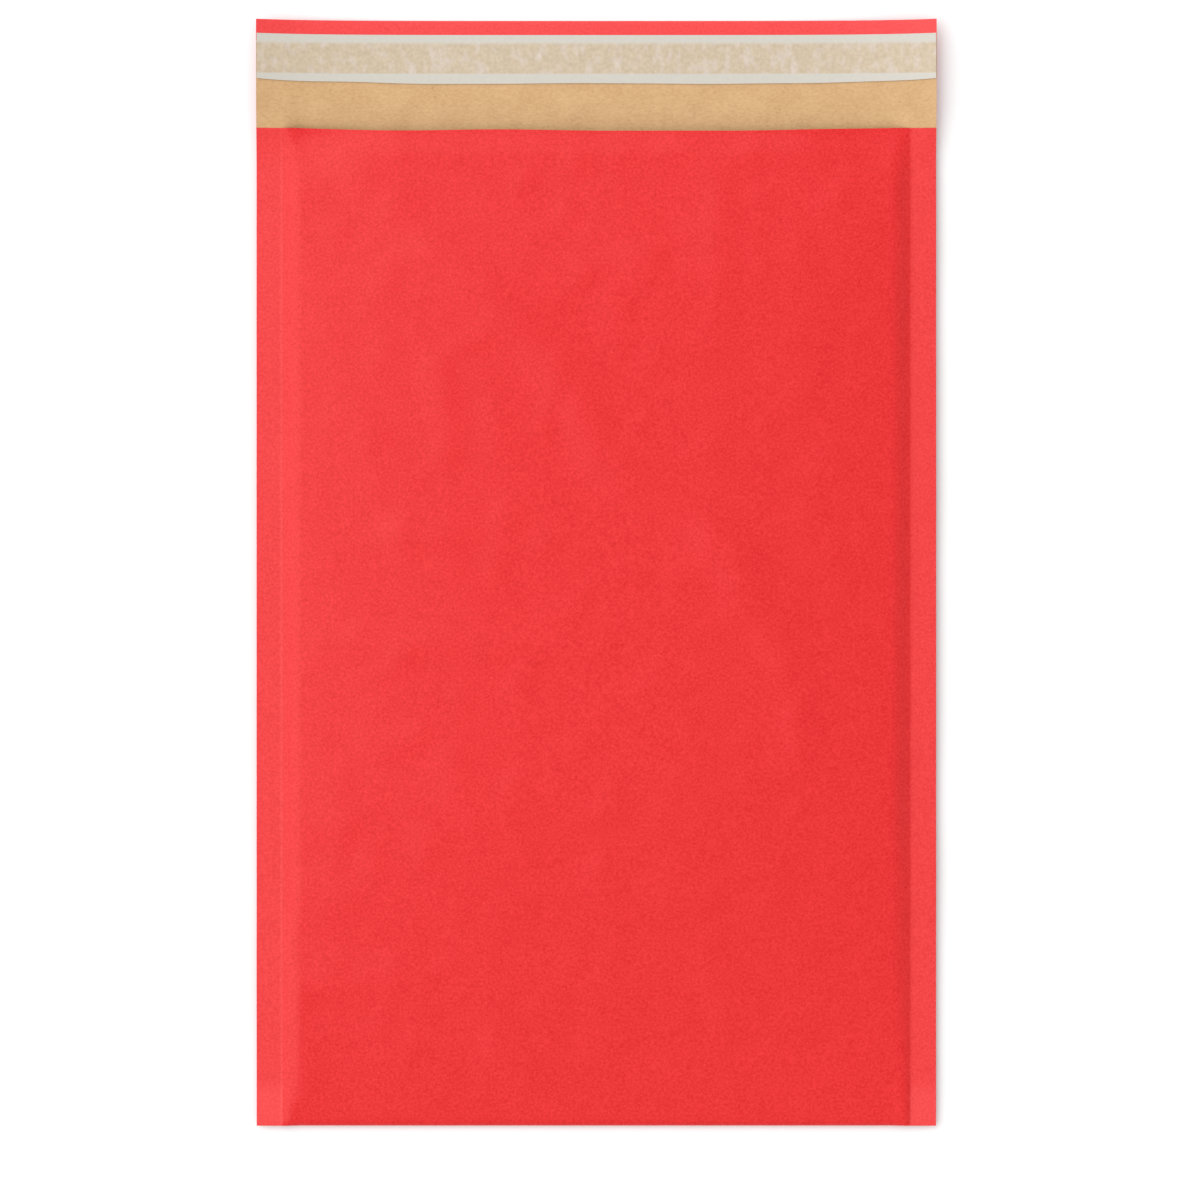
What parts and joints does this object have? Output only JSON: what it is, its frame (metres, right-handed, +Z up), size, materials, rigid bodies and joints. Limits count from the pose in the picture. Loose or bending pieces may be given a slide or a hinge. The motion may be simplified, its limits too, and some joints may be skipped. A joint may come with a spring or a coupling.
{
  "type": "padded envelope",
  "caption": "Flat paper mailing envelope lined with bubble film, open at the top, with a self-seal flap and its release liner.",
  "frame": {"origin": "on the floor, under the middle of the whole length and width", "axes": "+Z up, out of the front panel; +Y from the bottom fold to the flap's tip; X across, from seam to seam"},
  "size_m": [0.24, 0.3906, 0.0108],
  "materials": {
    "red_paper": "matt uncoated kraft paper, printed red outside and plain brown inside",
    "bubble_film": "clear polyethylene bubble film",
    "adhesive": "clear pressure-sensitive adhesive on kraft paper",
    "liner_film": "thin translucent white release film"
  },
  "bodies": {
    "root": {"outer_envelope": "red_paper", "bubble_lining": "bubble_film", "adhesive_strip": "adhesive", "release_liner": "liner_film"}
  },
  "joints": []
}
